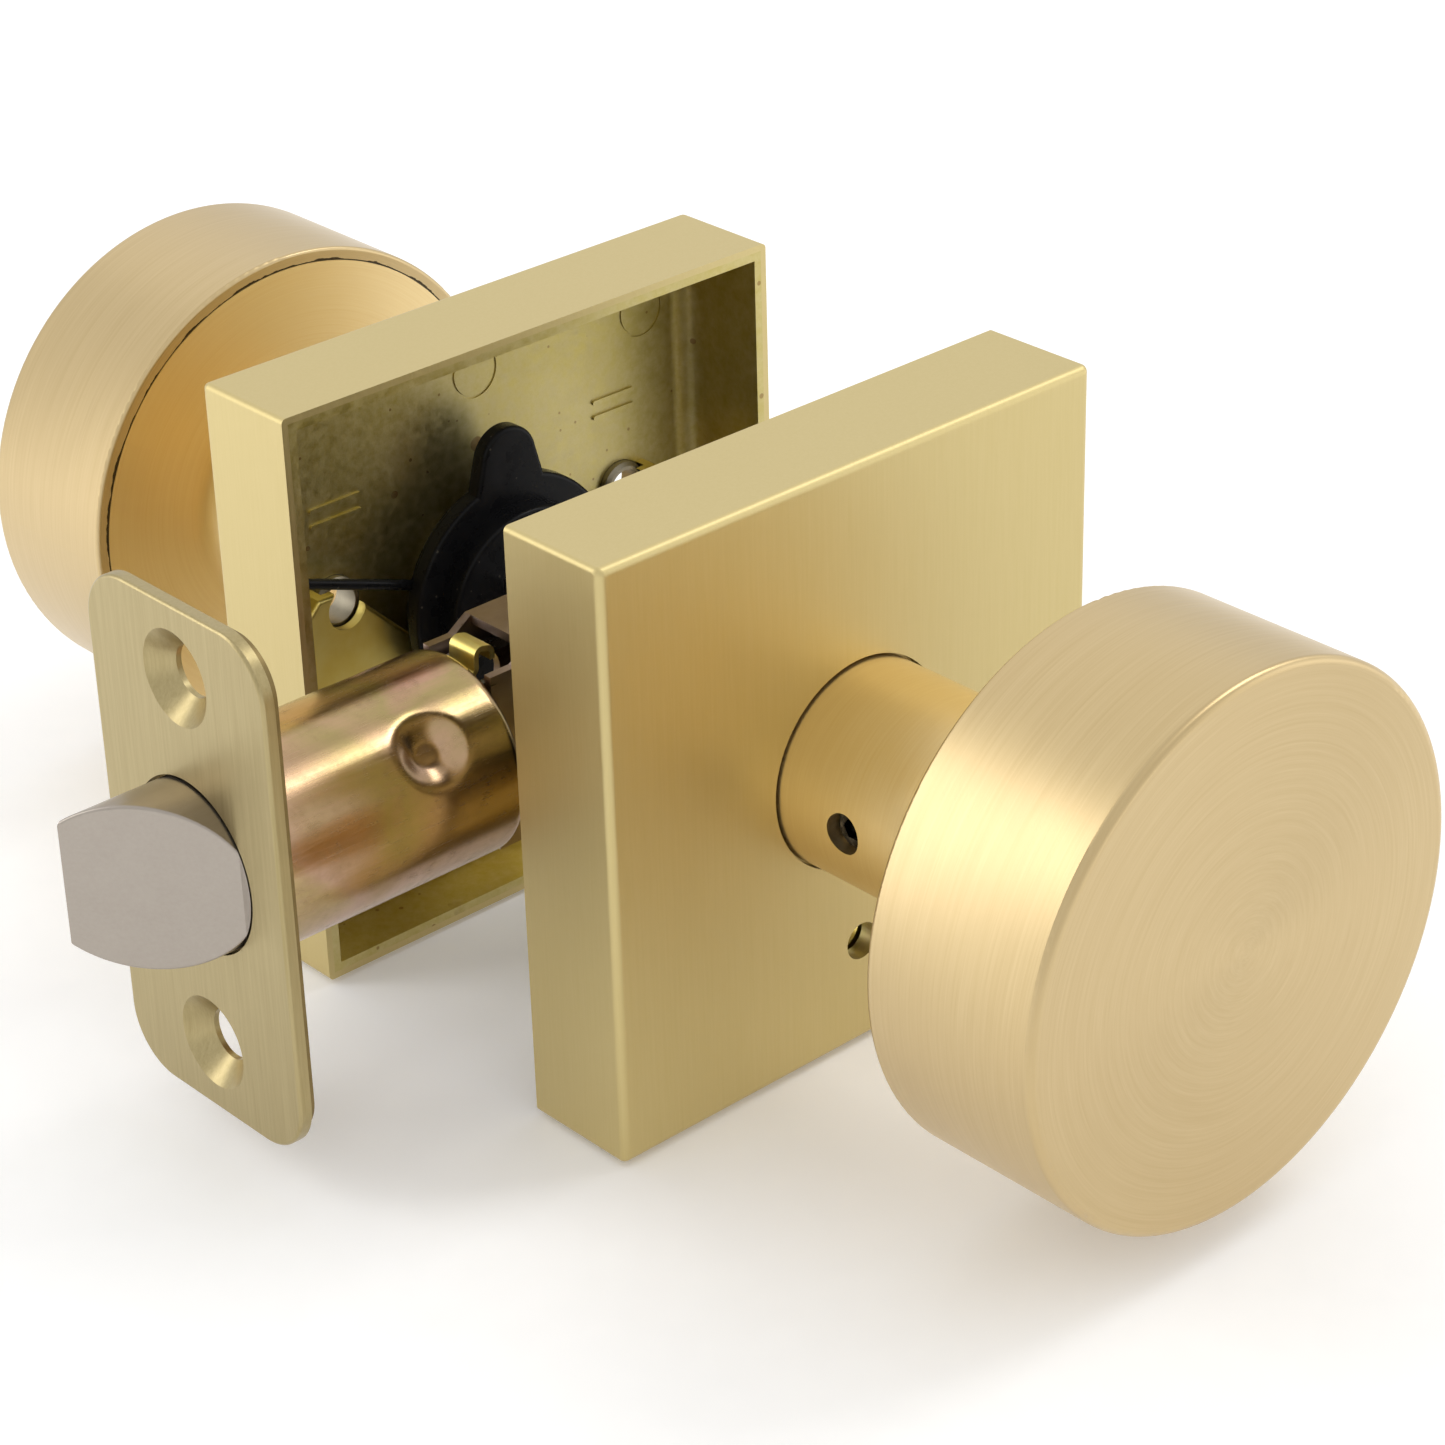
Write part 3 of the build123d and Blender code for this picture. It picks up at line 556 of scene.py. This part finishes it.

# The latch's own plate is zinc plated too. Its dark brown is painted shade, so that it shows as the dark line
# it makes behind the faceplate.
ZINC_PAINTED_SHADE = (0.20, 0.145, 0.06, 1)
ZINC_PAINTED_SHADE_LIGHT = (0.30, 0.225, 0.10, 1)
painted_shade_plate_finish, tree, surface, place = finish_for("zinc_painted_shade", 1.0, 0.45)
handled = blotches(tree, place, 240.0, 5.0, 0.65)
tree.links.new(
    blend_colours(tree, between(tree, handled, 0.3, 0.7), ZINC_PAINTED_SHADE, ZINC_PAINTED_SHADE_LIGHT),
    surface.inputs["Base Color"],
)
tree.links.new(between(tree, handled, 0.3, 0.7, 0.38, 0.52), surface.inputs["Roughness"])
emboss(tree, surface, handled, 0.10, 0.00004)
dress("fixed_plate", painted_shade_plate_finish)

# Set screws: black oxide over hardened steel, oily and a little worn on the rim.
BLACK_OXIDE = (0.03, 0.03, 0.033, 1)
WORN_OXIDE = (0.20, 0.19, 0.18, 1)
oxide_finish, tree, surface, place = finish_for("black_oxide", 1.0, 0.35)
worn = blotches(tree, place, 1400.0, 3.0)
tree.links.new(
    blend_colours(tree, between(tree, worn, 0.5, 0.7), BLACK_OXIDE, WORN_OXIDE),
    surface.inputs["Base Color"],
)
tree.links.new(between(tree, worn, 0.3, 0.7, 0.25, 0.45), surface.inputs["Roughness"])
for side in ("front", "back"):
    dress(f"{side}_set_screw", oxide_finish)

# ---------------------------------------------------------------- faceplate
# A stamped brass strip, brushed upright, with its screw holes pressed into dishes. It covers the latch's
# own plate, and the bolt slides through it.
FACEPLATE_BRASS = (0.38, 0.305, 0.145, 1)
FACEPLATE_BRASS_LIGHT = (0.46, 0.375, 0.195, 1)
plate_finish, tree, surface, place = finish_for(
    "faceplate_brushed_brass",
    1.0,
    0.34,
    coat=0.10,
    coat_roughness=0.25,
)
scratches = placed(tree, grain, {"Vector": place, "Stretch": (6000.0, 7000.0, 160.0)})
tone = between(tree, sum_up(tree, "ADD", scratches.outputs["Fine"], scratches.outputs["Broad"]), 0.7, 1.3)
tree.links.new(
    blend_colours(tree, tone, FACEPLATE_BRASS, FACEPLATE_BRASS_LIGHT),
    surface.inputs["Base Color"],
)
tree.links.new(between(tree, scratches.outputs["Fine"], 0.3, 0.7, 0.28, 0.42), surface.inputs["Roughness"])
emboss(tree, surface, scratches.outputs["Fine"], 0.15, 0.00003)
dress("faceplate", plate_finish)

# ---------------------------------------------------------------- latch bolt
# A bolt of sintered steel, tumbled and plated in satin nickel. Faint marks run along it, the way that it
# slides.
SATIN_NICKEL = (0.37, 0.325, 0.280, 1)
SATIN_NICKEL_LIGHT = (0.43, 0.385, 0.335, 1)
nickel_finish, tree, surface, place = finish_for("satin_nickel", 1.0, 0.36)
clouds = blotches(tree, place, 220.0, 5.0, 0.65)
marks = placed(tree, grain, {"Vector": place, "Stretch": (140.0, 2600.0, 2600.0)})
tree.links.new(
    blend_colours(
        tree,
        between(tree, sum_up(tree, "ADD", clouds, marks.outputs["Fine"]), 0.5, 1.5),
        SATIN_NICKEL,
        SATIN_NICKEL_LIGHT,
    ),
    surface.inputs["Base Color"],
)
tree.links.new(
    between(tree, sum_up(tree, "ADD", clouds, marks.outputs["Fine"]), 0.7, 1.3, 0.30, 0.40),
    surface.inputs["Roughness"],
)
emboss(tree, surface, sum_up(tree, "ADD", clouds, marks.outputs["Fine"]), 0.08, 0.00002)
dress("latch_bolt", nickel_finish)

# ---------------------------------------------------------------- latch tube and case
# The tube is a drawn steel cup, and the case behind it is folded sheet. The chromate on the tube is
# thick, and shifts from pink to gold and green.
STAIN_BROWN = (0.30, 0.20, 0.10, 1)
chromate_finish, tree, surface, place = finish_for(
    "iridescent_chromate",
    1.0,
    0.26,
    coat=0.1,
    coat_roughness=0.15,
)
stain = blotches(tree, place, 520.0, 5.0, 0.7)
film = blotches(tree, place, 52.0, 2.0, 0.45, distortion=0.7)
drawn = placed(tree, grain, {"Vector": place, "Stretch": (160.0, 5000.0, 5000.0)})
along_tube = between(tree, add(tree, "ShaderNodeSeparateXYZ", {0: place}).outputs[0], -0.058, -0.027)
shift = sum_up(tree, "ADD", sum_up(tree, "MULTIPLY", film, 1.15), sum_up(tree, "MULTIPLY", along_tube, 0.42))
ramp = add(
    tree,
    "ShaderNodeValToRGB",
    {
        "Fac": between(
            tree,
            sum_up(tree, "ADD", shift, sum_up(tree, "MULTIPLY", drawn.outputs["Broad"], 0.10)),
            0.45,
            1.20,
        )
    },
)
stops = ramp.color_ramp
stops.elements[0].position, stops.elements[0].color = 0.0, (0.44, 0.40, 0.17, 1)
stops.elements[1].position, stops.elements[1].color = 1.0, (0.46, 0.19, 0.12, 1)
for at, colour in (
    (0.22, (0.54, 0.42, 0.21, 1)),
    (0.42, (0.58, 0.39, 0.29, 1)),
    (0.58, (0.50, 0.33, 0.19, 1)),
    (0.72, (0.40, 0.31, 0.13, 1)),
    (0.86, (0.54, 0.31, 0.22, 1)),
):
    stops.elements.new(at).color = colour
stained = blend_colours(tree, between(tree, stain, 0.45, 0.75, 0.0, 0.45), ramp.outputs["Color"], STAIN_BROWN)
tree.links.new(stained, surface.inputs["Base Color"])
tree.links.new(
    between(tree, sum_up(tree, "ADD", drawn.outputs["Fine"], stain), 0.7, 1.3, 0.17, 0.30),
    surface.inputs["Roughness"],
)
emboss(tree, surface, drawn.outputs["Fine"], 0.08, 0.00002)

# The case's sheet took the chromate thinner, so that it is a pinkish grey brown.
THIN_CHROMATE = (0.36, 0.26, 0.20, 1)
THIN_CHROMATE_LIGHT = (0.52, 0.41, 0.35, 1)
case_finish, tree, surface, place = finish_for("thin_chromate", 1.0, 0.32)
film = blotches(tree, place, 120.0, 4.0, 0.6)
rolled = placed(tree, grain, {"Vector": place, "Stretch": (120.0, 3200.0, 3200.0)})
tree.links.new(
    blend_colours(tree, between(tree, film, 0.32, 0.68), THIN_CHROMATE, THIN_CHROMATE_LIGHT),
    surface.inputs["Base Color"],
)
tree.links.new(
    between(tree, sum_up(tree, "ADD", rolled.outputs["Fine"], film), 0.7, 1.3, 0.26, 0.42),
    surface.inputs["Roughness"],
)
emboss(tree, surface, rolled.outputs["Fine"], 0.10, 0.00004)
for node in ("latch_case", "latch_case_cover"):
    dress(node, case_finish)

# The tube is one closed wall: its outline is walked along the outside, round the lip and back along the
# bore, and turned about X. A punch has pushed two soft dimples through the wall to hold the case.
TUBE_FRONT, TUBE_END = (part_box("latch_tube")[i][0] for i in (0, 1))
TUBE_RADIUS, TUBE_WALL, TUBE_LIP = 0.0111, 0.0008, 0.0013
DIMPLE_FROM_END, DIMPLE_ANGLE = 0.0099, math.radians(39.0)
DIMPLE_OUTSIDE, DIMPLE_IN_BORE, DIMPLE_FLAT, DIMPLE_DEPTH = 0.0047, 0.0041, 0.0010, 0.0014
HOLE_INSET, HOLE_EDGE, HOLE_CORNER = 0.0001, 0.00005, 0.00008
AROUND, ALONG_TUBE, LIP_STEPS = 224, 96, 8


def dimple(x, angle, reach):
    """How far the punch has pushed the wall in, at a place on the tube, for a dimple of that radius."""
    pushed = 0.0
    for toward in (DIMPLE_ANGLE, math.pi - DIMPLE_ANGLE):
        turn = (angle - toward + math.pi) % (2 * math.pi) - math.pi
        away = math.hypot(x - (TUBE_END - DIMPLE_FROM_END), turn * TUBE_RADIUS)
        share = min(max((reach - away) / (reach - DIMPLE_FLAT), 0.0), 1.0)
        pushed = max(pushed, DIMPLE_DEPTH * share * share * (3 - 2 * share))
    return pushed


def face_outward(mesh):
    """Turn every face of a closed mesh to the outside."""
    shell = bmesh.new()
    shell.from_mesh(mesh)
    bmesh.ops.recalc_face_normals(shell, faces=shell.faces)
    shell.to_mesh(mesh)
    shell.free()


straight = TUBE_END - TUBE_LIP - TUBE_FRONT
edge = 0.00012
outline = [(TUBE_FRONT, TUBE_RADIUS - edge, 0), (TUBE_FRONT + edge, TUBE_RADIUS, 0)]
outline += [
    (TUBE_FRONT + edge + (straight - edge) * i / ALONG_TUBE, TUBE_RADIUS, DIMPLE_OUTSIDE)
    for i in range(1, ALONG_TUBE + 1)
]
for i in range(1, LIP_STEPS + 1):
    lip = math.pi / 2 * i / LIP_STEPS
    outline.append(
        (TUBE_END - TUBE_LIP + TUBE_LIP * math.sin(lip), TUBE_RADIUS - TUBE_LIP + TUBE_LIP * math.cos(lip), 0)
    )
hole = TUBE_RADIUS - TUBE_LIP - HOLE_INSET
bore, floor_x = TUBE_RADIUS - TUBE_WALL, TUBE_END - TUBE_WALL
outline += [
    (TUBE_END - HOLE_EDGE, hole, 0),
    (floor_x + HOLE_EDGE, hole, 0),
    (floor_x, hole + HOLE_CORNER, 0),
    (floor_x, bore - edge, 0),
]
outline += [
    (floor_x - edge - (floor_x - edge - TUBE_FRONT - edge) * i / ALONG_TUBE, bore, DIMPLE_IN_BORE)
    for i in range(ALONG_TUBE + 1)
]
outline.append((TUBE_FRONT, bore + edge, 0))

points = []
for x, r, reach in outline:
    for turn in range(AROUND):
        angle = 2 * math.pi * turn / AROUND
        here = r - (dimple(x, angle, reach) if reach else 0.0)
        points.append((x, here * math.cos(angle), here * math.sin(angle)))
rows = len(outline)
faces = [
    (
        row * AROUND + turn,
        row * AROUND + (turn + 1) % AROUND,
        (row + 1) % rows * AROUND + (turn + 1) % AROUND,
        (row + 1) % rows * AROUND + turn,
    )
    for row in range(rows)
    for turn in range(AROUND)
]
tube_mesh = bpy.data.meshes.new("tube_with_dimples")
tube_mesh.from_pydata(points, [], faces)
tube_mesh.polygons.foreach_set("use_smooth", [True] * len(tube_mesh.polygons))
tube_mesh.materials.append(chromate_finish)
tube = bpy.data.objects.new("tube_with_dimples", tube_mesh)
bpy.context.scene.collection.objects.link(tube)
face_outward(tube_mesh)
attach(tube, "door_fittings")
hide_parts("latch_tube")

# ---------------------------------------------------------------- bolt spring
# Bright drawn wire, wound between the bolt's tail and the cap of the case. The coil made here stands in
# for the CAD's.
DRAWN_WIRE = (0.34, 0.34, 0.35, 1)
DRAWN_WIRE_LIGHT = (0.55, 0.55, 0.56, 1)
wire_finish, tree, surface, place = finish_for("spring_wire", 1.0, 0.25)
streaks = blotches(tree, place, 900.0, 3.0)
tree.links.new(blend_colours(tree, streaks, DRAWN_WIRE, DRAWN_WIRE_LIGHT), surface.inputs["Base Color"])
tree.links.new(between(tree, streaks, 0.3, 0.7, 0.18, 0.34), surface.inputs["Roughness"])

# The coil is wound open with one closed turn at each end. It stays against the case's cap.
(spring_start, _, _), (spring_end, _, _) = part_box("bolt_spring")
WIRE, COIL_RADIUS, TURNS = 0.0009, 0.0035, 10.0
STEPS_IN_TURN, WIRE_SIDES = 48, 14
CLOSED_PITCH, BOLT_TRAVEL = 0.00096, 0.0110
length = spring_end - spring_start
open_pitch = (length - WIRE - 2 * CLOSED_PITCH) / (TURNS - 2)
points, faces = [], []
steps = int(TURNS * STEPS_IN_TURN)
for step in range(steps + 1):
    turns = TURNS * step / steps
    first_turn, last_turn = min(turns, 1.0), max(turns - TURNS + 1, 0.0)
    open_turns = min(max(turns - 1.0, 0.0), TURNS - 2)
    at = CLOSED_PITCH * first_turn + open_pitch * open_turns + CLOSED_PITCH * last_turn
    angle = 2 * math.pi * turns
    out = Vector((0.0, math.cos(angle), math.sin(angle)))
    middle = Vector((spring_start + WIRE / 2 + at, 0.0, 0.0)) + out * COIL_RADIUS
    for side in range(WIRE_SIDES):
        lean = 2 * math.pi * side / WIRE_SIDES
        points.append(middle + (out * math.cos(lean) + Vector((1.0, 0.0, 0.0)) * math.sin(lean)) * WIRE / 2)
for step in range(steps):
    for side in range(WIRE_SIDES):
        after = (side + 1) % WIRE_SIDES
        faces.append(
            (
                step * WIRE_SIDES + side,
                step * WIRE_SIDES + after,
                (step + 1) * WIRE_SIDES + after,
                (step + 1) * WIRE_SIDES + side,
            )
        )
faces.append(tuple(range(WIRE_SIDES)))
faces.append(tuple(steps * WIRE_SIDES + side for side in reversed(range(WIRE_SIDES))))
coil_mesh = bpy.data.meshes.new("bolt_coil")
coil_mesh.from_pydata(points, [], faces)
coil_mesh.polygons.foreach_set("use_smooth", [len(face) == 4 for face in faces])
coil_mesh.materials.append(wire_finish)
coil = bpy.data.objects.new("bolt_coil", coil_mesh)
bpy.context.scene.collection.objects.link(coil)
face_outward(coil_mesh)
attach(coil, "door_fittings")
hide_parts("bolt_spring")
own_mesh(coil)

bpy.context.view_layer.update()
